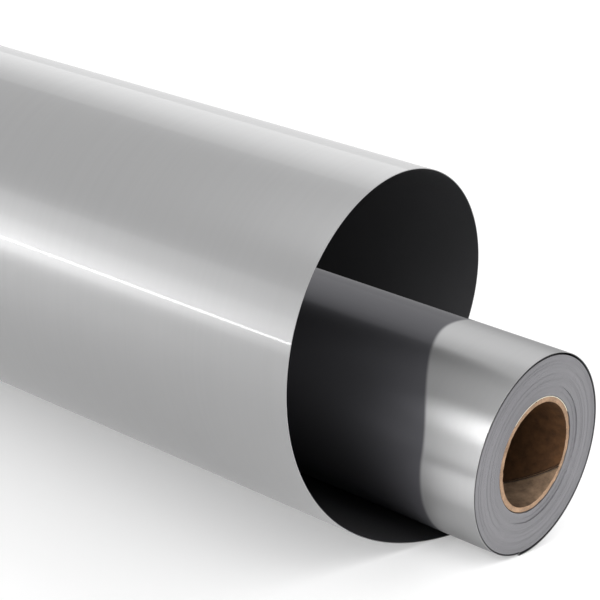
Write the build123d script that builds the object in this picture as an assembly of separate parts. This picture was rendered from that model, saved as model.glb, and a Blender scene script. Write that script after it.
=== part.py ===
from build123d import *
import math
import os

# Wide foil tape roll on a spiral-wound cardboard core, with its paid-out film sprung into a big loose curl.
# Millimetres. X runs along the core, +X towards the end where the core shows. The origin is the middle of
# the core's bore. Z is up. The film leaves the bottom of the roll towards -Y, rises, arches back over the
# roll and stops above it. The metal foil is on the outside of every turn and the dark backing is inside.

# Core: three kraft paper plies glued into one tube
bore_radius = 12.7
core_length = 304.0
ply_thickness = 0.40
glue_line = 0.02

# Strip of double-sided tape that holds the start of the film on the core
tape_thickness = 0.15
tape_width = 25.0
tape_clearance = 0.02
tape_place = 90.0

# Wound film
film_width = 305.0
first_turn_radius = 14.15
inner_group_radius = 16.75
middle_group_radius = 21.70
wound_radius = 23.60
group_gap = 0.05
inner_group_shift = -0.3

# The last, loose turn round the roll
running_gap = 0.30
foil_thickness = 0.20
backing_thickness = 0.20
layer_gap = 0.05
turn_growth = 0.50
growth_power = 6
front_slack = 0.35
slack_lean = 0.72
slack_power = 4
last_turn_points = 37

# The free film: how sharply it curls, from where it leaves the roll to its cut edge
slit_back = 16.7
loop_length = 210.9
flat_bend_radius = 136.5
curl_bend_radius = 28.6
curl_power = 1.294
loop_points = 25
path_steps = 400

# Line across the free film where its end flexes
flex_at = 90.0
flex_gap = 0.5

film_thickness = backing_thickness + layer_gap + foil_thickness
half_film = film_width / 2


def tube(inner_radius, outer_radius, length, shift=0.0):
    """A plain tube along X, with its middle at X = shift."""
    ring = Circle(outer_radius) - Circle(inner_radius)
    return extrude(Plane.YZ.offset(shift - length / 2) * ring, amount=length)


def layer(outer_edge, inner_edge, low_x, high_x):
    """A layer of film between two lines of section points, drawn in Y and Z, from low_x to high_x."""
    outer_line = Spline(*outer_edge)
    inner_line = Spline(*inner_edge)
    first_end = Line(outer_edge[0], inner_edge[0])
    second_end = Line(outer_edge[-1], inner_edge[-1])
    section = make_face([outer_line, second_end, inner_line, first_end])
    return extrude(Plane.YZ.offset(low_x) * section, amount=high_x - low_x, dir=(1, 0, 0))


def last_turn_radius(angle):
    """Inside radius of the last turn: it stands off the roll at the front and lifts over its own start."""
    share = angle / (2 * math.pi)
    growth = turn_growth * share ** growth_power
    slack = front_slack * math.sin(math.pi * share ** slack_lean) ** slack_power
    return wound_radius + running_gap + growth + slack


def last_turn_edge(offset):
    """Section points of the last turn, once round from the bottom by way of the front."""
    points = []
    for step in range(last_turn_points):
        angle = 2 * math.pi * step / (last_turn_points - 1)
        radius = last_turn_radius(angle) + offset
        points.append((-radius * math.sin(angle), -radius * math.cos(angle)))
    return points


def loop_bend(distance):
    """Curvature of the free film at a distance along it: gentle at the roll, tight at the cut edge."""
    share = math.sin(math.pi / 2 * distance / loop_length) ** curl_power
    return 1 / flat_bend_radius + (1 / curl_bend_radius - 1 / flat_bend_radius) * share


def loop_station(distance):
    """Point on the free film's inner face and the film's heading there, that far from the roll."""
    step = distance / path_steps
    heading = math.pi
    y = 0.0
    z = -last_turn_radius(2 * math.pi)
    for number in range(path_steps):
        bend = loop_bend((number + 0.5) * step)
        middle_heading = heading - bend * step / 2
        y += step * math.cos(middle_heading)
        z += step * math.sin(middle_heading)
        heading -= bend * step
    return y, z, heading


def loop_edge(start, end, offset):
    """Section points of the free film between two distances, offset outwards from its inner face."""
    points = []
    for step in range(loop_points):
        y, z, heading = loop_station(start + (end - start) * step / (loop_points - 1))
        points.append((y - offset * math.sin(heading), z + offset * math.cos(heading)))
    return points


def backing_and_foil(edge):
    """Inner and outer edges of the two layers, from a function that gives the edge at an offset."""
    foil_start = backing_thickness + layer_gap
    backing = (edge(backing_thickness), edge(0.0))
    foil = (edge(film_thickness), edge(foil_start))
    return backing, foil


parts = {}

ply_names = ("core_inner_ply", "core_middle_ply", "core_outer_ply")
for number, name in enumerate(ply_names):
    ply_radius = bore_radius + number * (ply_thickness + glue_line)
    core_radius = ply_radius + ply_thickness
    parts[name] = tube(ply_radius, core_radius, core_length)

tape_inside = core_radius + tape_clearance
tape_half_angle = math.degrees(tape_width / 2 / tape_inside)
tape_start = tape_place - tape_half_angle
tape_outer = CenterArc((0, 0), tape_inside + tape_thickness, tape_start, 2 * tape_half_angle)
tape_inner = CenterArc((0, 0), tape_inside, tape_start, 2 * tape_half_angle)
tape_ends = [Line(tape_outer @ 0, tape_inner @ 0), Line(tape_outer @ 1, tape_inner @ 1)]
tape_section = Plane.YZ.offset(-core_length / 2) * make_face([tape_outer, tape_inner, *tape_ends])
parts["start_tape"] = extrude(tape_section, amount=core_length, dir=(1, 0, 0))

parts["inner_turns"] = tube(first_turn_radius, inner_group_radius, film_width, inner_group_shift)
parts["middle_turns"] = tube(inner_group_radius + group_gap, middle_group_radius, film_width)
parts["outer_turns"] = tube(middle_group_radius + group_gap, wound_radius, film_width)

backing_edges, foil_edges = backing_and_foil(last_turn_edge)
parts["last_turn_backing"] = layer(*backing_edges, -half_film, half_film)
parts["last_turn_foil"] = layer(*foil_edges, -half_film, half_film)

stretches = {
    "loop": (0.0, flex_at - flex_gap / 2),
    "free_end": (flex_at + flex_gap / 2, loop_length),
}
for name, (start, end) in stretches.items():
    backing_edges, foil_edges = backing_and_foil(lambda offset: loop_edge(start, end, offset))
    parts[name + "_backing"] = layer(*backing_edges, -half_film, half_film - slit_back)
    parts[name + "_foil"] = layer(*foil_edges, -half_film, half_film - slit_back)

os.makedirs("parts", exist_ok=True)
for name, shape in parts.items():
    export_step(shape, f"parts/{name}.step")
    print(name, round(shape.volume, 1))

flex_y, flex_z, flex_heading = loop_station(flex_at)
print("flex line", round(flex_y, 2), round(flex_z, 2), "heading", round(math.degrees(flex_heading), 1))
edge_y, edge_z, edge_heading = loop_station(loop_length)
print("cut edge", round(edge_y, 2), round(edge_z, 2), "above the roll",
      round(math.hypot(edge_y, edge_z) - wound_radius, 2))
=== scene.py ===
import math

import bmesh
import bpy
from bpy.props import FloatProperty, FloatVectorProperty, PointerProperty
from mathutils import Matrix, Vector
from mathutils import noise as random_field


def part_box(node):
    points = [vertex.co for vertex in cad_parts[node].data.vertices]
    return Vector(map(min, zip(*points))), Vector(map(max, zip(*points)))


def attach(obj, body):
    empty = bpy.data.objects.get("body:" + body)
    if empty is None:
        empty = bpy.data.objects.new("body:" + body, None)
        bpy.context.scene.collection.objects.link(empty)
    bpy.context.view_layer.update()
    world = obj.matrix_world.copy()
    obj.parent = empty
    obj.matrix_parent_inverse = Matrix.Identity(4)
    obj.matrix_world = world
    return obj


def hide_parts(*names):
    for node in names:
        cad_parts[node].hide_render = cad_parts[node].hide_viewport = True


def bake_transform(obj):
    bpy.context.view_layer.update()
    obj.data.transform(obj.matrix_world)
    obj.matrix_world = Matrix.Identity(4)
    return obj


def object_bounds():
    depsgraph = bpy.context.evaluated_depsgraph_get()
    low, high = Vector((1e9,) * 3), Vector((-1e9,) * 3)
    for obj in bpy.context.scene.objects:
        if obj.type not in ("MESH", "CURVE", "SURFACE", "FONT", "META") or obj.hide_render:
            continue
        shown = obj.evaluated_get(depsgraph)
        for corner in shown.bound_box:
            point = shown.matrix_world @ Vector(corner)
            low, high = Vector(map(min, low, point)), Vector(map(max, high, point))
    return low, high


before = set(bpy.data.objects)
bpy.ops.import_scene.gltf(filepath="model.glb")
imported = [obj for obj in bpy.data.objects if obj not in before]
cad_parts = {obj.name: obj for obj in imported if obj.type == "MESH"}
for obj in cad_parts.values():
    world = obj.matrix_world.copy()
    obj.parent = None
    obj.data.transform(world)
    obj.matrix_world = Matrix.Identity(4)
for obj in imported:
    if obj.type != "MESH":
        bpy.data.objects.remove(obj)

bl_info = {
    "name": "Foil tape roll",
    "version": (1, 0, 0),
    "blender": (4, 5, 0),
    "location": "3D View > Sidebar > Foil roll",
    "description": "A wide roll of dark-backed foil on a cardboard core, with its free film in a loose curl",
    "category": "Add Mesh",
}

# Everything is in metres. X runs along the core, and the roll lies on the floor with its curl towards -Y.
CAD_BOX = [list(corner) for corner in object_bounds()]
FLOOR_Z = CAD_BOX[0][2]
ROLL_LOW, ROLL_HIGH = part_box("last_turn_foil")
CURL_LOW, CURL_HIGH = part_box("loop_foil")

WEB = "paid_out_film"
ROLL = "wound_roll"

# Finishes: where the bore's lighter band beside the seam ends and how wide the painted shadow of its seam is,
# as shares of the strip, and the depth of paper that counts as the bore's skin
LIGHT_BAND = (0.10, 0.28)
SEAM_SHADOW = 0.012
BORE_SKIN = 0.00006
QUARTER_TURN = 0.25

# Meshes: points along and across the film's grids, steps round the core and rows across its strip
CURL_GRID = (361, 25)
LAST_TURN_GRID = (321, 9)
CORE_STEPS = 96
STRIP_ROWS = 6
STRIP_FILL = 0.92
CRISP_EDGE = math.radians(35)

# How quickly the last turn's slack rises to its middle and falls again
SLACK_POWER = 4.0

# How far along the core each ply's seam starts past the one inside it
SEAM_STEP = 0.029

# The core's cut ends: how near an end a point is part of it, and how coarse and fine the fraying is
CUT_DEPTH = 0.0001
COARSE_FRAY = 900.0
FINE_FRAY = 2300.0

# Long soft lights: name, degrees round from +Y by way of the top, distance, width, low and high X,
# brightness, the Y and Z that it faces, and the spread in degrees
CURL_FRONT = (-0.0745, 0.030)
CURL_MIDDLE = (-0.03, 0.02)
ROLL_MIDDLE = (0.0, 0.0)
CARDS = (
    ("front_strip", -168.0, 0.105, 0.0028, -1.2, 0.07, 16.0, CURL_FRONT, 180.0),
    ("front_glow", -177.0, 0.115, 0.034, -1.3, 0.07, 0.6, CURL_FRONT, 180.0),
    ("front_softbox", 178.0, 0.12, 0.100, -1.4, 0.07, 0.60, CURL_FRONT, 180.0),
    ("back_softbox", 48.0, 1.2, 1.0, -1.4, 0.6, 0.65, CURL_MIDDLE, 180.0),
    ("end_band", 158.0, 0.10, 0.042, 0.144, 0.26, 1.3, ROLL_MIDDLE, 45.0),
    ("end_front", -174.0, 0.10, 0.050, 0.144, 0.26, 0.9, ROLL_MIDDLE, 75.0),
    ("end_low", -155.0, 0.040, 0.018, 0.138, 0.22, 0.5, ROLL_MIDDLE, 90.0),
    ("end_top", 122.0, 0.18, 0.12, 0.145, 0.36, 0.6, ROLL_MIDDLE, 90.0),
)


# ---------------------------------------------------------------- settings that a user would change


class FilmSettings(bpy.types.PropertyGroup):
    """Sizes of the film, the loose last turn and the free curl."""

    running_gap: FloatProperty(
        name="Running gap", description="Clearance of the last turn at the bottom of the roll",
        default=0.0003, unit="LENGTH")
    turn_growth: FloatProperty(
        name="Turn growth", description="How much wider the last turn is at its end than at its start",
        default=0.0005, unit="LENGTH")
    growth_power: FloatProperty(
        name="Growth power", description="How late round the roll the last turn widens", default=6.0)
    front_slack: FloatProperty(
        name="Front slack", description="How far the loose last turn stands off the roll at the front",
        default=0.0005, unit="LENGTH")
    slack_lean: FloatProperty(
        name="Slack lean", description="Under 1, the slack is nearer the start of the turn", default=0.72)
    loop_length: FloatProperty(
        name="Free length", description="Length of the free film from the roll to its cut edge",
        default=0.2109, unit="LENGTH")
    flat_bend_radius: FloatProperty(
        name="Bend at the roll", description="Bend radius where the film leaves the roll",
        default=0.1365, unit="LENGTH")
    curl_bend_radius: FloatProperty(
        name="Bend at the edge", description="Bend radius at the film's cut edge",
        default=0.0286, unit="LENGTH")
    curl_power: FloatProperty(
        name="Curl power", description="How late along the film the bend tightens", default=1.294)
    film_outside: FloatProperty(
        name="Outer face", description="Distance from the inner face of the film to the foil's outer face",
        default=0.00045, unit="LENGTH")
    foil_thickness: FloatProperty(
        name="Foil thickness", description="Thickness of the metal foil", default=0.00014, unit="LENGTH")
    backing_thickness: FloatProperty(
        name="Backing thickness", description="Thickness of the dark backing", default=0.00006, unit="LENGTH")


class WindingSettings(bpy.types.PropertyGroup):
    """Sizes of the tight turns."""

    turn_pitch: FloatProperty(
        name="Turn pitch", description="Growth in radius from one turn to the next",
        default=0.00016, unit="LENGTH")
    tape_clearance: FloatProperty(
        name="Tape clearance", description="Gap between the start tape and the first turn",
        default=0.00004, unit="LENGTH")
    snug_fit: FloatProperty(
        name="Snug fit", description="How far the tight turns reach into the last turn's clearance",
        default=0.00048, unit="LENGTH")
    edge_wander: FloatProperty(
        name="Edge wander", description="How far the turns slip endways", default=0.00016, unit="LENGTH")


class CoreSettings(bpy.types.PropertyGroup):
    """Sizes of the spiral-wound core."""

    strip_pitch: FloatProperty(
        name="Strip pitch", description="Length of core covered by one turn of a kraft strip",
        default=0.0894, unit="LENGTH")
    seam_lead: FloatProperty(
        name="Seam lead", description="How far along the core the inner seam starts", default=0.019,
        unit="LENGTH")
    fray_depth: FloatProperty(
        name="Fray depth", description="Roughness of the core's cut ends", default=0.00025, unit="LENGTH")
    seam_gap: FloatProperty(
        name="Seam gap", description="Gap between the edges of a kraft strip", default=0.0003, unit="LENGTH")


class ShadeSettings(bpy.types.PropertyGroup):
    """Where the last turn's foil changes from silver to the curl's painted shade and reflection, and how dark
    that painted shade is.
    """

    bare_end: FloatProperty(
        name="Bare end", description="Silver length at the near end, at the front of the roll",
        default=0.0147, unit="LENGTH")
    line_lean: FloatProperty(
        name="Line lean", description="How much longer the silver length is over the top",
        default=0.0118, unit="LENGTH")
    line_top: FloatProperty(
        name="Line top", description="Angle above the middle of the roll at which the leaning ends",
        subtype="ANGLE", default=math.radians(80))
    line_blur: FloatProperty(
        name="Line blur", description="Width of the change of tone", default=0.0012, unit="LENGTH")
    # Painted shade: this dark tone stands in for the curl's shade and reflection on the foil under it
    painted_curl_shade: FloatVectorProperty(
        name="Painted curl shade", description="Tone of the foil under the curl", subtype="COLOR", size=4, min=0, max=1,
        default=(0.082, 0.0815, 0.090, 1))


class ColourSettings(bpy.types.PropertyGroup):
    """Colours of the finishes."""

    foil: FloatVectorProperty(
        name="Foil", description="Silver metal face", subtype="COLOR", size=4, min=0, max=1,
        default=(0.41, 0.41, 0.413, 1))
    backing: FloatVectorProperty(
        name="Backing", description="Near-black backing", subtype="COLOR", size=4, min=0, max=1,
        default=(0.030, 0.030, 0.032, 1))
    film_edge: FloatVectorProperty(
        name="Film edge", description="Edges of the wound film", subtype="COLOR", size=4, min=0, max=1,
        default=(0.205, 0.202, 0.214, 1))
    kraft: FloatVectorProperty(
        name="Kraft board", description="Brown core board", subtype="COLOR", size=4, min=0, max=1,
        default=(0.33, 0.21, 0.13, 1))
    # Partly the bore paper's own darker tone, partly painted shade of the deep bore
    bore: FloatVectorProperty(
        name="Bore", description="Darker kraft paper lining the bore", subtype="COLOR", size=4, min=0, max=1,
        default=(0.060, 0.027, 0.010, 1))
    # A lighter band of the bore's paper beside the seam
    light_bore_band: FloatVectorProperty(
        name="Light bore band", description="Lighter kraft paper beside the bore's seam", subtype="COLOR", size=4,
        min=0, max=1, default=(0.17, 0.113, 0.072, 1))
    tape: FloatVectorProperty(
        name="Start tape", description="Thin tape under the first turn", subtype="COLOR", size=4,
        min=0, max=1, default=(0.72, 0.68, 0.55, 1))
    floor: FloatVectorProperty(
        name="Floor", description="Pale studio floor", subtype="COLOR", size=4, min=0, max=1,
        default=(0.70, 0.70, 0.70, 1))


class StageSettings(bpy.types.PropertyGroup):
    """Camera and studio."""

    azimuth: FloatProperty(
        name="Azimuth", description="Camera direction, 0 looking along +Y", subtype="ANGLE",
        default=math.radians(37.65))
    elevation: FloatProperty(
        name="Elevation", description="Camera height angle", subtype="ANGLE", default=math.radians(14.85))
    roll: FloatProperty(
        name="Roll", description="Camera turn about its own axis", subtype="ANGLE",
        default=math.radians(8.24))
    distance: FloatProperty(
        name="Distance", description="From the camera to the roll's near end", default=0.45705, unit="LENGTH")
    aim_right: FloatProperty(
        name="Aim right", description="How far right of the view's middle the roll's near end is",
        default=0.0542, unit="LENGTH")
    aim_down: FloatProperty(
        name="Aim down", description="How far below the view's middle the roll's near end is",
        default=0.03555, unit="LENGTH")
    lens: FloatProperty(name="Lens", description="Focal length", default=120.0, unit="CAMERA")


# ---------------------------------------------------------------- small helpers


def reach(node):
    """Outer radius of a round node."""
    low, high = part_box(node)
    return max(high.y, high.z)


class Wiring:
    """Adds nodes to a tree, so that each step of a rule reads as one line."""

    def __init__(self, tree):
        self.tree = tree

    def add(self, kind, inputs=None, **settings):
        made = self.tree.nodes.new(kind)
        for name, value in settings.items():
            setattr(made, name, value)
        for key, value in (inputs or {}).items():
            self.feed(made.inputs[key], value)
        return made

    def feed(self, socket, value):
        if isinstance(value, bpy.types.NodeSocket):
            self.tree.links.new(value, socket)
        else:
            socket.default_value = value

    def math(self, operation, *values, clamp=False):
        made = self.tree.nodes.new("ShaderNodeMath")
        made.operation = operation
        made.use_clamp = clamp
        for socket, value in zip(made.inputs, values):
            self.feed(socket, value)
        return made.outputs[0]

    def vector(self, x, y, z):
        return self.add("ShaderNodeCombineXYZ", {"X": x, "Y": y, "Z": z}).outputs[0]


def new_shape_tree(name, sizes):
    """A geometry tree with one named length or number input for each size, and its wiring."""
    tree = bpy.data.node_groups.new(name, "GeometryNodeTree")
    for size in sizes:
        tree.interface.new_socket(name=size, in_out="INPUT", socket_type="NodeSocketFloat")
    tree.interface.new_socket(name="Material", in_out="INPUT", socket_type="NodeSocketMaterial")
    tree.interface.new_socket(name="Geometry", in_out="OUTPUT", socket_type="NodeSocketGeometry")
    wires = Wiring(tree)
    inlet = tree.nodes.new("NodeGroupInput")
    return tree, wires, inlet.outputs


def close_shape_tree(tree, wires, geometry, material):
    """Ends a geometry tree with real meshes that carry their material."""
    smooth = wires.add("GeometryNodeSetShadeSmooth", {"Geometry": geometry})
    real = wires.add("GeometryNodeRealizeInstances", {"Geometry": smooth.outputs[0]})
    painted = wires.add("GeometryNodeSetMaterial", {"Geometry": real.outputs[0], "Material": material})
    outlet = tree.nodes.new("NodeGroupOutput")
    tree.links.new(painted.outputs[0], outlet.inputs["Geometry"])


def grown(name, tree, sizes, material, thickness=0.0):
    """Runs a geometry tree with these sizes and returns its result as a plain mesh object."""
    seed_mesh = bpy.data.meshes.new(name + "_seed")
    holder = bpy.data.objects.new(name + "_seed", seed_mesh)
    bpy.context.scene.collection.objects.link(holder)
    modifier = holder.modifiers.new("shape", "NODES")
    modifier.node_group = tree
    values = dict(sizes, Material=material)
    for item in tree.interface.items_tree:
        if item.in_out == "INPUT":
            modifier[item.identifier] = values[item.name]
    if thickness:
        wall = holder.modifiers.new("wall", "SOLIDIFY")
        wall.thickness = thickness
        wall.offset = -1.0
        wall.use_even_offset = True
    seen = holder.evaluated_get(bpy.context.evaluated_depsgraph_get())
    mesh = bpy.data.meshes.new_from_object(seen)
    mesh.name = name
    bpy.data.objects.remove(holder)
    bpy.data.meshes.remove(seed_mesh)
    return shown(name, mesh)


def shown(name, mesh):
    """Puts a mesh in the scene with smooth faces and crisp cut edges."""
    mesh.shade_smooth()
    mesh.set_sharp_from_angle(angle=CRISP_EDGE)
    piece = bpy.data.objects.new(name, mesh)
    bpy.context.scene.collection.objects.link(piece)
    return piece


# ---------------------------------------------------------------- finishes


def new_finish(name):
    """A node material with only its output and shader, and its wiring."""
    material = bpy.data.materials.get(name) or bpy.data.materials.new(name)
    material.use_nodes = True
    wires = Wiring(material.node_tree)
    material.node_tree.nodes.clear()
    shader = wires.add("ShaderNodeBsdfPrincipled")
    output = wires.add("ShaderNodeOutputMaterial")
    material.node_tree.links.new(shader.outputs[0], output.inputs["Surface"])
    return material, wires, shader


def object_point(wires, stretch=(1, 1, 1)):
    """Object coordinates, stretched along each axis."""
    place = wires.add("ShaderNodeTexCoord").outputs["Object"]
    return wires.add("ShaderNodeMapping", {"Vector": place, "Scale": stretch}).outputs[0]


def noise(wires, point, scale, detail=3.0, roughness=0.5):
    made = wires.add("ShaderNodeTexNoise", {"Vector": point, "Scale": scale, "Detail": detail,
                                            "Roughness": roughness})
    return made.outputs["Fac"]


def between(wires, factor, low, high):
    """A number from low to high as a factor goes from 0 to 1."""
    made = wires.add("ShaderNodeMapRange", {"Value": factor, "To Min": low, "To Max": high})
    return made.outputs["Result"]


def shaded(wires, factor, colour, low, high):
    """A colour made darker or lighter, from low to high times its strength, by a factor."""
    level = between(wires, factor, low, high)
    strength = wires.add("ShaderNodeCombineColor", {"Red": level, "Green": level, "Blue": level})
    mixed = wires.add("ShaderNodeMix", data_type="RGBA", blend_type="MULTIPLY")
    mixed.inputs[0].default_value = 1.0
    wires.feed(mixed.inputs[6], tuple(colour))
    wires.feed(mixed.inputs[7], strength.outputs[0])
    return mixed.outputs[2]


def bumped(wires, shader, height, strength, distance):
    bump = wires.add("ShaderNodeBump", {"Height": height, "Strength": strength, "Distance": distance})
    wires.feed(shader.inputs["Normal"], bump.outputs[0])


def brushed_round(wires, shader, strength):
    """Fine grooves round the roll: they blur reflections along the roll on its skin, outwards on its ends."""
    shader.inputs["Anisotropic"].default_value = strength
    shader.inputs["Anisotropic Rotation"].default_value = QUARTER_TURN
    round_the_roll = wires.add("ShaderNodeTangent", direction_type="RADIAL", axis="X")
    wires.feed(shader.inputs["Tangent"], round_the_roll.outputs[0])


def from_axis(wires, place):
    """Distance from the roll's axis."""
    square = wires.math("ADD", wires.math("POWER", place.outputs["Y"], 2.0),
                        wires.math("POWER", place.outputs["Z"], 2.0))
    return wires.math("SQRT", square)


def ramp(wires, value, low, high):
    """A smooth step from 0 to 1 as a value goes from low to high."""
    made = wires.add("ShaderNodeMapRange", {"Value": value, "From Min": low, "From Max": high},
                     interpolation_type="SMOOTHSTEP")
    return made.outputs["Result"]


def mixed_colour(wires, factor, low, high):
    """One colour at factor 0 and another at factor 1."""
    mixed = wires.add("ShaderNodeMix", data_type="RGBA")
    for socket, value in zip((mixed.inputs[0], mixed.inputs[6], mixed.inputs[7]), (factor, low, high)):
        wires.feed(socket, value)
    return mixed.outputs[2]


def reopened(material):
    """The wiring, the shader and the present colour of a finish that is to be taken further."""
    wires = Wiring(material.node_tree)
    shader = [made for made in material.node_tree.nodes if made.type == "BSDF_PRINCIPLED"][0]
    return wires, shader, shader.inputs["Base Color"].links[0].from_socket


def foil_finish(colour, name="silver_foil"):
    """Silver foil under a clear film: mill marks round the roll blur its reflections along the roll only."""
    material, wires, shader = new_finish(name)
    mill = noise(wires, object_point(wires, (900, 12, 12)), 1.0, 4.0)
    cloud = noise(wires, object_point(wires, (9, 30, 30)), 1.0, 2.0)
    wires.feed(shader.inputs["Base Color"], shaded(wires, mill, colour, 0.97, 1.03))
    wires.feed(shader.inputs["Roughness"], between(wires, cloud, 0.42, 0.46))
    shader.inputs["Metallic"].default_value = 1.0
    shader.inputs["Coat Weight"].default_value = 0.6
    shader.inputs["Coat Roughness"].default_value = 0.04
    shader.inputs["Coat IOR"].default_value = 1.5
    brushed_round(wires, shader, 0.9)
    bumped(wires, shader, mill, 0.06, 0.00002)
    return material


def roll_foil_finish(colour, shade):
    """The last turn's foil: silver at the open near end, with the curl's shade and reflection painted on as a
    dark tone where it lies under the curl.
    """
    material = foil_finish(colour, "roll_foil")
    wires, shader, silver = reopened(material)
    place = wires.add("ShaderNodeSeparateXYZ", {"Vector": object_point(wires)})
    height = wires.math("ARCTAN2", place.outputs["Z"], wires.math("ABSOLUTE", place.outputs["Y"]))
    lean = ramp(wires, height, 0.0, shade.line_top)
    leaning = wires.math("MULTIPLY", lean, shade.line_lean)
    line_x = wires.math("SUBTRACT", ROLL_HIGH.x - shade.bare_end, leaning)
    past = wires.math("SUBTRACT", line_x, place.outputs["X"])
    # Mask of the painted shade: 1 past the line where the curl's shade and reflection are painted on the foil
    covered = ramp(wires, past, -shade.line_blur / 2, shade.line_blur / 2)
    # Painted shade and reflection of the curl: a dark base colour under the curl, and the foil made less
    # metallic there
    wires.feed(shader.inputs["Base Color"], mixed_colour(wires, covered, silver, tuple(shade.painted_curl_shade)))
    wires.feed(shader.inputs["Metallic"], between(wires, covered, 1.0, 0.6))
    shader.inputs["Specular Tint"].default_value = (0.45, 0.45, 0.45, 1)
    shader.inputs["Coat Weight"].default_value = 0.1
    return material


def backing_finish(colour):
    """Near-black backing with a faint sheen and a fine coat grain."""
    material, wires, shader = new_finish("dark_backing")
    grain = noise(wires, object_point(wires), 2600.0, 2.0)
    cloud = noise(wires, object_point(wires), 40.0, 3.0)
    wires.feed(shader.inputs["Base Color"], shaded(wires, cloud, colour, 0.8, 1.2))
    wires.feed(shader.inputs["Roughness"], between(wires, grain, 0.42, 0.54))
    bumped(wires, shader, grain, 0.15, 0.00002)
    return material


def film_edge_finish(colour):
    """Cut edges of the wound film: satin grey with rings of slightly different turns."""
    material, wires, shader = new_finish("film_edges")
    place = wires.add("ShaderNodeSeparateXYZ", {"Vector": object_point(wires)})
    ring_point = wires.vector(from_axis(wires, place), 0.0, 0.0)
    broad = noise(wires, ring_point, 420.0, 2.0)
    fine = noise(wires, ring_point, 4200.0, 1.0)
    rings = wires.math("ADD", wires.math("MULTIPLY", broad, 0.6), wires.math("MULTIPLY", fine, 0.4))
    wires.feed(shader.inputs["Base Color"], shaded(wires, rings, colour, 0.55, 1.45))
    wires.feed(shader.inputs["Roughness"], between(wires, fine, 0.32, 0.46))
    shader.inputs["Metallic"].default_value = 0.6
    brushed_round(wires, shader, 0.8)
    return material


def kraft_finish(colour, name="kraft_board"):
    """Brown kraft board with short fibres and a mottled tone."""
    material, wires, shader = new_finish(name)
    fibres = noise(wires, object_point(wires, (700, 2200, 2200)), 1.0, 4.0, 0.6)
    mottle = noise(wires, object_point(wires), 260.0, 3.0)
    tone = wires.math("ADD", wires.math("MULTIPLY", fibres, 0.5), wires.math("MULTIPLY", mottle, 0.5))
    wires.feed(shader.inputs["Base Color"], shaded(wires, tone, colour, -0.3, 2.3))
    wires.feed(shader.inputs["Roughness"], between(wires, fibres, 0.75, 0.92))
    bumped(wires, shader, fibres, 0.6, 0.0001)
    return material


def bore_finish(colours, inner_radius, seam_x, pitch):
    """The inner ply: kraft board at its cut end, dark paper in the bore with a lighter band beside the seam;
    the bore's dark tone is partly painted shade of the deep bore, and a painted shadow runs along the seam.
    """
    material = kraft_finish(colours.kraft, "bore_paper")
    wires, shader, board = reopened(material)
    place = wires.add("ShaderNodeSeparateXYZ", {"Vector": object_point(wires)})
    front = wires.math("MULTIPLY", place.outputs["Y"], -1.0)
    turn = wires.math("DIVIDE", wires.math("ARCTAN2", front, place.outputs["Z"]), 2 * math.pi)
    along = wires.math("DIVIDE", wires.math("SUBTRACT", place.outputs["X"], seam_x), pitch)
    across = wires.math("FRACT", wires.math("SUBTRACT", along, turn))
    mottle = noise(wires, object_point(wires), 420.0, 4.0, 0.6)
    from_middle = wires.math("ABSOLUTE", wires.math("SUBTRACT", across, 0.5))
    # Painted shadow of the seam: the tone falls towards black at the strip's edges, where the seam runs
    beside_seam = wires.add("ShaderNodeMapRange", {"Value": from_middle, "From Min": 0.5 - SEAM_SHADOW,
                                                   "From Max": 0.5, "To Min": 1.0, "To Max": 0.0})
    mottle = wires.math("MULTIPLY", mottle, beside_seam.outputs["Result"])
    # A lighter band of paper beside the seam
    lighter_paper = shaded(wires, mottle, colours.light_bore_band, 0.0, 2.0)
    # The bore's dark paper, partly painted shade of the deep bore
    dark = shaded(wires, mottle, colours.bore, 0.1, 1.9)
    paper = mixed_colour(wires, ramp(wires, across, *LIGHT_BAND), lighter_paper, dark)
    inside = wires.math("LESS_THAN", from_axis(wires, place), inner_radius + BORE_SKIN)
    wires.feed(shader.inputs["Base Color"], mixed_colour(wires, inside, board, paper))
    shader.inputs["Specular IOR Level"].default_value = 0.2
    return material


def tape_finish(colour):
    """Thin adhesive tape."""
    material, wires, shader = new_finish("start_tape_film")
    mottle = noise(wires, object_point(wires), 300.0, 3.0)
    wires.feed(shader.inputs["Base Color"], shaded(wires, mottle, colour, 0.85, 1.15))
    wires.feed(shader.inputs["Roughness"], between(wires, mottle, 0.35, 0.5))
    return material


def floor_finish(colour):
    """Smooth pale studio floor."""
    material, wires, shader = new_finish("pale_floor")
    cloud = noise(wires, object_point(wires), 3.0, 2.0)
    wires.feed(shader.inputs["Base Color"], shaded(wires, cloud, colour, 0.99, 1.01))
    shader.inputs["Roughness"].default_value = 0.7
    shader.inputs["Emission Color"].default_value = (1, 1, 1, 1)
    shader.inputs["Emission Strength"].default_value = 0.30
    return material


# ---------------------------------------------------------------- shapes


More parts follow.
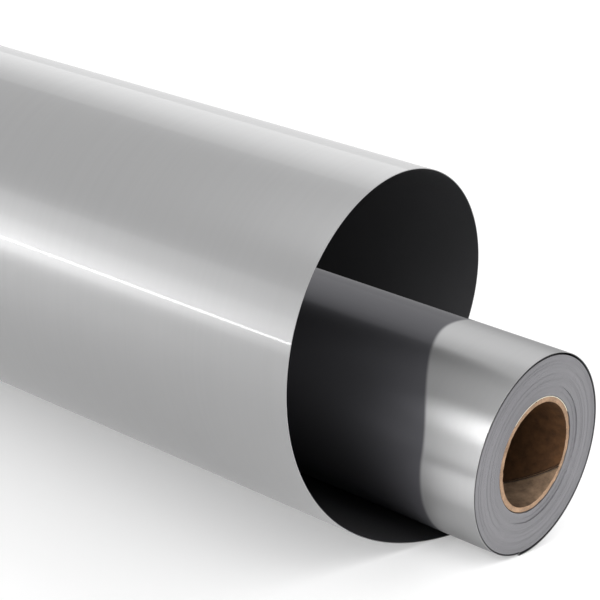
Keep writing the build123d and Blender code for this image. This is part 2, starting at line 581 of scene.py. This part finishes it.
def curl_tree():
    """The free film's rule: its bend grows along it by a sine power, and its path is the bends added up."""
    sizes = ["Length", "Flat bend radius", "Curl bend radius", "Curl power", "Start height", "Offset",
             "Low X", "High X"]
    tree, wires, given = new_shape_tree("free_film_curl", sizes)
    along_count, across_count = CURL_GRID
    grid = wires.add("GeometryNodeMeshGrid", {"Size X": 1.0, "Size Y": 1.0, "Vertices X": along_count,
                                              "Vertices Y": across_count})
    place = wires.add("ShaderNodeSeparateXYZ", {"Vector": wires.add("GeometryNodeInputPosition").outputs[0]})
    along = wires.math("ADD", place.outputs["X"], 0.5)
    across = wires.math("ADD", place.outputs["Y"], 0.5)
    row = wires.math("ROUND", wires.math("MULTIPLY", across, across_count - 1.0))
    step = wires.math("DIVIDE", given["Length"], along_count - 1.0)
    half_share = 0.5 / (along_count - 1)
    middle = wires.math("MAXIMUM", wires.math("SUBTRACT", along, half_share), 0.0)
    flat_bend = wires.math("DIVIDE", 1.0, given["Flat bend radius"])
    curl_bend = wires.math("DIVIDE", 1.0, given["Curl bend radius"])
    share = wires.math("POWER", wires.math("SINE", wires.math("MULTIPLY", middle, math.pi / 2)),
                       given["Curl power"])
    bend = wires.math("ADD", flat_bend, wires.math("MULTIPLY", wires.math("SUBTRACT", curl_bend, flat_bend),
                                                   share))
    moves = wires.math("GREATER_THAN", along, half_share)
    turn = wires.math("MULTIPLY", wires.math("MULTIPLY", bend, step), moves)
    turned = added_up(wires, turn, row)
    heading = wires.math("SUBTRACT", math.pi, turned)
    middle_heading = wires.math("ADD", heading, wires.math("MULTIPLY", turn, 0.5))
    pace = wires.math("MULTIPLY", step, moves)
    y = added_up(wires, wires.math("MULTIPLY", pace, wires.math("COSINE", middle_heading)), row)
    z = added_up(wires, wires.math("MULTIPLY", pace, wires.math("SINE", middle_heading)), row)
    out_y = wires.math("MULTIPLY", given["Offset"], wires.math("SINE", heading))
    out_z = wires.math("MULTIPLY", given["Offset"], wires.math("COSINE", heading))
    width = wires.math("SUBTRACT", given["High X"], given["Low X"])
    x = wires.math("ADD", given["Low X"], wires.math("MULTIPLY", across, width))
    height = wires.math("ADD", wires.math("SUBTRACT", z, given["Start height"]), out_z)
    spot = wires.vector(x, wires.math("SUBTRACT", y, out_y), height)
    bent = wires.add("GeometryNodeSetPosition", {"Geometry": grid.outputs["Mesh"], "Position": spot})
    outward = wires.add("GeometryNodeFlipFaces", {"Mesh": bent.outputs[0]})
    close_shape_tree(tree, wires, outward.outputs[0], given["Material"])
    return tree


def added_up(wires, value, row):
    """The running sum of a value along each row of the film."""
    total = wires.add("GeometryNodeAccumulateField", data_type="FLOAT", domain="POINT")
    wires.feed(total.inputs["Value"], value)
    wires.feed(total.inputs["Group ID"], row)
    return total.outputs["Leading"]


def last_turn_tree():
    """The last turn's rule: once round the roll from the bottom, slack at the front and wider at its end."""
    sizes = ["Start radius", "Growth", "Growth power", "Slack", "Slack lean", "Low X", "High X"]
    tree, wires, given = new_shape_tree("loose_last_turn", sizes)
    grid = wires.add("GeometryNodeMeshGrid", {"Size X": 1.0, "Size Y": 1.0, "Vertices X": LAST_TURN_GRID[0],
                                              "Vertices Y": LAST_TURN_GRID[1]})
    place = wires.add("ShaderNodeSeparateXYZ", {"Vector": wires.add("GeometryNodeInputPosition").outputs[0]})
    round_share = wires.math("ADD", place.outputs["X"], 0.5, clamp=True)
    across = wires.math("ADD", place.outputs["Y"], 0.5)
    angle = wires.math("MULTIPLY", round_share, 2 * math.pi)
    growth = wires.math("MULTIPLY", given["Growth"], wires.math("POWER", round_share, given["Growth power"]))
    leaned = wires.math("MULTIPLY", wires.math("POWER", round_share, given["Slack lean"]), math.pi)
    hump = wires.math("POWER", wires.math("ABSOLUTE", wires.math("SINE", leaned)), SLACK_POWER)
    radius = wires.math("ADD", given["Start radius"], growth)
    radius = wires.math("ADD", radius, wires.math("MULTIPLY", given["Slack"], hump))
    y = wires.math("MULTIPLY", wires.math("MULTIPLY", radius, wires.math("SINE", angle)), -1.0)
    z = wires.math("MULTIPLY", wires.math("MULTIPLY", radius, wires.math("COSINE", angle)), -1.0)
    width = wires.math("SUBTRACT", given["High X"], given["Low X"])
    x = wires.math("ADD", given["Low X"], wires.math("MULTIPLY", across, width))
    bent = wires.add("GeometryNodeSetPosition", {"Geometry": grid.outputs["Mesh"],
                                                 "Position": wires.vector(x, y, z)})
    outward = wires.add("GeometryNodeFlipFaces", {"Mesh": bent.outputs[0]})
    close_shape_tree(tree, wires, outward.outputs[0], given["Material"])
    return tree


def winding_tree():
    """Tight turns: one flat strip on a spiral, whose edge wanders a little endways from turn to turn."""
    sizes = ["Start radius", "End radius", "Turns", "Strip thickness", "Strip width", "Wander", "Shift"]
    tree, wires, given = new_shape_tree("wound_turns", sizes)
    spiral = wires.add("GeometryNodeCurveSpiral", {"Resolution": 96, "Height": 0.0})
    wires.feed(spiral.inputs["Rotations"], given["Turns"])
    wires.feed(spiral.inputs["Start Radius"], given["Start radius"])
    wires.feed(spiral.inputs["End Radius"], given["End radius"])
    place = wires.add("GeometryNodeInputPosition").outputs[0]
    radius = wires.add("ShaderNodeVectorMath", {0: place}, operation="LENGTH").outputs["Value"]
    wander = wires.add("ShaderNodeTexNoise", {"Vector": wires.vector(radius, 0.3, 0.7), "Scale": 900.0,
                                              "Detail": 3.0})
    slip = wires.math("MULTIPLY", wires.math("SUBTRACT", wander.outputs["Fac"], 0.5),
                      wires.math("MULTIPLY", given["Wander"], 2.0))
    moved = wires.add("GeometryNodeSetPosition", {
        "Geometry": spiral.outputs[0],
        "Offset": wires.vector(0.0, 0.0, wires.math("ADD", slip, given["Shift"]))})
    upright = wires.add("GeometryNodeSetCurveNormal", {"Curve": moved.outputs[0]}, mode="Z_UP")
    section = wires.add("GeometryNodeCurvePrimitiveQuadrilateral")
    wires.feed(section.inputs["Width"], given["Strip thickness"])
    wires.feed(section.inputs["Height"], given["Strip width"])
    strip = wires.add("GeometryNodeCurveToMesh", {"Curve": upright.outputs[0],
                                                  "Profile Curve": section.outputs[0], "Fill Caps": True})
    laid = wires.add("GeometryNodeTransform", {"Geometry": strip.outputs[0],
                                               "Rotation": (0.0, math.pi / 2, 0.0)})
    close_shape_tree(tree, wires, laid.outputs[0], given["Material"])
    return tree


def ply_mesh(outer_radius, length, pitch, seam_gap, lead):
    """One kraft strip wound into a tube: its edges meet along a spiral seam, and its ends are cut flat."""
    steps_round, rows = CORE_STEPS, STRIP_ROWS
    turns = int(length / pitch) + 3
    mesh = bpy.data.meshes.new("kraft_strip")
    points, faces = [], []
    start_x = -length / 2 - pitch * 1.5 + lead
    for step in range(turns * steps_round + 1):
        angle = 2 * math.pi * step / steps_round
        for row in range(rows + 1):
            x = start_x + pitch * step / steps_round + (pitch - seam_gap) * row / rows
            points.append((x, -outer_radius * math.sin(angle), outer_radius * math.cos(angle)))
    for step in range(turns * steps_round):
        for row in range(rows):
            corner = step * (rows + 1) + row
            faces.append((corner, corner + 1, corner + rows + 2, corner + rows + 1))
    mesh.from_pydata(points, [], faces)
    work = bmesh.new()
    work.from_mesh(mesh)
    for side in (-1, 1):
        everything = work.verts[:] + work.edges[:] + work.faces[:]
        bmesh.ops.bisect_plane(work, geom=everything, plane_co=(side * length / 2, 0, 0),
                               plane_no=(side, 0, 0), clear_outer=True)
    for face in work.faces:
        centre = face.calc_center_median()
        if face.normal.dot(Vector((0, centre.y, centre.z))) < 0:
            face.normal_flip()
    work.to_mesh(mesh)
    work.free()
    return mesh


def frayed(mesh, length, depth):
    """Roughens the cut ends of a ply by a little, as a blade leaves paper board."""
    for point in mesh.vertices:
        if abs(point.co.x) > length / 2 - CUT_DEPTH:
            coarse = random_field.noise(point.co * COARSE_FRAY)
            fine = random_field.noise(point.co * FINE_FRAY)
            ragged = min(1.0, abs(coarse + 0.5 * fine))
            point.co.x -= math.copysign(depth * ragged, point.co.x)


def solid_wall(name, mesh, thickness, material):
    """Gives an open skin its wall, inwards, and returns the finished piece."""
    mesh.materials.append(material)
    holder = bpy.data.objects.new(name + "_skin", mesh)
    bpy.context.scene.collection.objects.link(holder)
    wall = holder.modifiers.new("wall", "SOLIDIFY")
    wall.thickness = thickness
    wall.offset = -1.0
    seen = holder.evaluated_get(bpy.context.evaluated_depsgraph_get())
    finished = bpy.data.meshes.new_from_object(seen)
    finished.name = name
    bpy.data.objects.remove(holder)
    bpy.data.meshes.remove(mesh)
    return shown(name, finished)


# ---------------------------------------------------------------- operators, one for each group of pieces


class FOILROLL_OT_core(bpy.types.Operator):
    """Makes the three kraft plies of the core and finishes the start tape"""

    bl_idname = "foilroll.core"
    bl_label = "Core"

    def execute(self, context):
        sizes = context.scene.foil_core
        colours = context.scene.foil_colours
        board = kraft_finish(colours.kraft)
        low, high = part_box("core_inner_ply")
        seam_x = low.x - sizes.strip_pitch * 1.5 + sizes.seam_lead
        thickness = reach("core_outer_ply") - reach("core_middle_ply")
        lining = bore_finish(colours, reach("core_inner_ply") - thickness, seam_x, sizes.strip_pitch)
        papers = {"core_inner_ply": lining, "core_middle_ply": board, "core_outer_ply": board}
        for number, (node, paper) in enumerate(papers.items()):
            low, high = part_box(node)
            outer_radius = reach(node)
            mesh = ply_mesh(outer_radius, high.x - low.x, sizes.strip_pitch, sizes.seam_gap,
                            sizes.seam_lead + number * SEAM_STEP)
            ply = solid_wall(node + "_strip", mesh, thickness, paper)
            frayed(ply.data, high.x - low.x, sizes.fray_depth)
            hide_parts(node)
            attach(ply, ROLL)
        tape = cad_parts["start_tape"]
        tape.data.materials.clear()
        tape.data.materials.append(tape_finish(colours.tape))
        return {"FINISHED"}


class FOILROLL_OT_winding(bpy.types.Operator):
    """Makes the tight turns of film on the core, in three groups that have slipped a little endways"""

    bl_idname = "foilroll.winding"
    bl_label = "Wound film"

    def execute(self, context):
        sizes = context.scene.foil_winding
        edges = film_edge_finish(context.scene.foil_colours.film_edge)
        tree = winding_tree()
        start_radius = reach("start_tape") + sizes.tape_clearance
        for node in ("inner_turns", "middle_turns", "outer_turns"):
            low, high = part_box(node)
            end_radius = reach(node) - sizes.turn_pitch / 2
            if node == "outer_turns":
                end_radius += sizes.snug_fit
            turns = round((end_radius - start_radius) / sizes.turn_pitch)
            width = high.x - low.x - 2 * sizes.edge_wander
            group = grown(node + "_strip", tree, {
                "Start radius": start_radius + sizes.turn_pitch / 2, "End radius": end_radius,
                "Turns": turns, "Strip thickness": sizes.turn_pitch * STRIP_FILL, "Strip width": width,
                "Wander": sizes.edge_wander, "Shift": (low.x + high.x) / 2}, edges)
            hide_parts(node)
            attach(group, ROLL)
            start_radius = end_radius - sizes.turn_pitch / 2
        return {"FINISHED"}


class FOILROLL_OT_last_turn(bpy.types.Operator):
    """Makes the loose last turn round the roll: foil outside, dark backing inside"""

    bl_idname = "foilroll.last_turn"
    bl_label = "Loose last turn"

    def execute(self, context):
        sizes = context.scene.foil_film
        colours = context.scene.foil_colours
        tree = last_turn_tree()
        low, high = ROLL_LOW, ROLL_HIGH
        inside = reach("outer_turns") + sizes.running_gap
        layers = (
            ("last_turn_foil", sizes.film_outside, sizes.foil_thickness,
             roll_foil_finish(colours.foil, context.scene.foil_shade), "metal_foil"),
            ("last_turn_backing", sizes.film_outside - sizes.foil_thickness, sizes.backing_thickness,
             backing_finish(colours.backing), "dark_backing"))
        for node, outside, thickness, material, slot in layers:
            layer = grown(node + "_layer", tree, {
                "Start radius": inside + outside, "Growth": sizes.turn_growth,
                "Growth power": sizes.growth_power, "Slack": sizes.front_slack,
                "Slack lean": sizes.slack_lean, "Low X": low.x, "High X": high.x}, material, thickness)
            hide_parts(node)
            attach(layer, WEB)
        return {"FINISHED"}


class FOILROLL_OT_curl(bpy.types.Operator):
    """Makes the free film in its curl: foil outside, dark backing inside"""

    bl_idname = "foilroll.curl"
    bl_label = "Free film"

    def execute(self, context):
        sizes = context.scene.foil_film
        colours = context.scene.foil_colours
        tree = curl_tree()
        start_height = reach("outer_turns") + sizes.running_gap + sizes.turn_growth
        layers = (
            ("foil", sizes.film_outside, sizes.foil_thickness, foil_finish(colours.foil), "metal_foil"),
            ("backing", sizes.film_outside - sizes.foil_thickness, sizes.backing_thickness,
             backing_finish(colours.backing), "dark_backing"))
        for name, outside, thickness, material, slot in layers:
            layer = grown("free_film_" + name, tree, {
                "Length": sizes.loop_length, "Flat bend radius": sizes.flat_bend_radius,
                "Curl bend radius": sizes.curl_bend_radius, "Curl power": sizes.curl_power,
                "Start height": start_height, "Offset": outside,
                "Low X": CURL_LOW.x, "High X": CURL_HIGH.x}, material, thickness)
            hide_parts("loop_" + name, "free_end_" + name)
            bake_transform(layer)
        return {"FINISHED"}


class FOILROLL_OT_stage(bpy.types.Operator):
    """Makes the pale floor, the soft studio lights and the camera"""

    bl_idname = "foilroll.stage"
    bl_label = "Studio"

    def execute(self, context):
        scene = context.scene
        make_floor(scene.foil_colours.floor)
        make_sky(scene)
        for card in CARDS:
            make_card(*card)
        make_camera(scene, scene.foil_stage)
        return {"FINISHED"}


def make_floor(colour):
    mesh = bpy.data.meshes.new("floor")
    half = 4.0
    corners = [(-half, -half, FLOOR_Z), (half, -half, FLOOR_Z), (half, half, FLOOR_Z), (-half, half, FLOOR_Z)]
    mesh.from_pydata(corners, [], [(0, 1, 2, 3)])
    mesh.materials.append(floor_finish(colour))
    floor = bpy.data.objects.new("floor", mesh)
    bpy.context.scene.collection.objects.link(floor)


def make_sky(scene):
    """An even studio: the same soft grey from every side."""
    world = bpy.data.worlds.new("studio")
    world.use_nodes = True
    back = world.node_tree.nodes["Background"]
    back.inputs["Color"].default_value = (1.0, 1.0, 1.0, 1)
    back.inputs["Strength"].default_value = 1.0
    scene.world = world
    scene.view_settings.view_transform = "Standard"


def make_card(name, angle, distance, width, low_x, high_x, brightness, aim, spread):
    """A long soft light, parallel to the roll, that many degrees round it from +Y by way of the top."""
    light = bpy.data.lights.new(name, "AREA")
    light.shape = "RECTANGLE"
    light.size = high_x - low_x
    light.size_y = width
    light.energy = brightness * math.pi * light.size * light.size_y
    light.spread = math.radians(spread)
    card = bpy.data.objects.new(name, light)
    turn = math.radians(angle)
    along, out = Vector((1, 0, 0)), Vector((0.0, math.cos(turn), math.sin(turn)))
    spot = Vector(((low_x + high_x) / 2, *aim)) + out * distance
    faces = Matrix((along, out.cross(along), out)).transposed()
    card.matrix_world = Matrix.Translation(spot) @ faces.to_4x4()
    card.visible_camera = False
    bpy.context.scene.collection.objects.link(card)


def make_camera(scene, stage):
    """The camera's place: back from the roll's near end, then moved so that the end sits where it should."""
    a, e = stage.azimuth, stage.elevation
    back = Vector((math.sin(a) * math.cos(e), -math.cos(a) * math.cos(e), math.sin(e)))
    right = Vector((0, 0, 1)).cross(back).normalized()
    up = back.cross(right)
    tilt = Matrix.Rotation(stage.roll, 3, back)
    right, up = tilt @ right, tilt @ up
    near_end = Vector((ROLL_HIGH.x, 0, 0))
    spot = near_end + back * stage.distance - right * stage.aim_right + up * stage.aim_down
    data = bpy.data.cameras.new("camera")
    data.lens = stage.lens
    data.sensor_width = 36.0
    camera = bpy.data.objects.new("camera", data)
    camera.matrix_world = Matrix.Translation(spot) @ Matrix((right, up, back)).transposed().to_4x4()
    scene.collection.objects.link(camera)
    scene.camera = camera


# ---------------------------------------------------------------- panel and registration

STEPS = (FOILROLL_OT_core, FOILROLL_OT_winding, FOILROLL_OT_last_turn, FOILROLL_OT_curl, FOILROLL_OT_stage)
SETTINGS = {
    "foil_film": FilmSettings,
    "foil_winding": WindingSettings,
    "foil_core": CoreSettings,
    "foil_shade": ShadeSettings,
    "foil_colours": ColourSettings,
    "foil_stage": StageSettings,
}


class FOILROLL_PT_panel(bpy.types.Panel):
    """Lists the roll's sizes, its colours and the steps that make it"""

    bl_idname = "FOILROLL_PT_panel"
    bl_label = "Foil tape roll"
    bl_space_type = "VIEW_3D"
    bl_region_type = "UI"
    bl_category = "Foil roll"

    def draw(self, context):
        for step in STEPS:
            self.layout.operator(step.bl_idname)
        for name in SETTINGS:
            box = self.layout.box()
            group = getattr(context.scene, name)
            for size in group.bl_rna.properties.keys():
                if size not in ("rna_type", "name"):
                    box.prop(group, size)


def register():
    for name, group in SETTINGS.items():
        bpy.utils.register_class(group)
        setattr(bpy.types.Scene, name, PointerProperty(type=group))
    for step in STEPS:
        bpy.utils.register_class(step)
    bpy.utils.register_class(FOILROLL_PT_panel)


def unregister():
    bpy.utils.unregister_class(FOILROLL_PT_panel)
    for step in reversed(STEPS):
        bpy.utils.unregister_class(step)
    for name, group in reversed(SETTINGS.items()):
        delattr(bpy.types.Scene, name)
        bpy.utils.unregister_class(group)


def main():
    register()
    for step in STEPS:
        family, action = step.bl_idname.split(".")
        getattr(getattr(bpy.ops, family), action)()


if __name__ == "__main__":
    main()
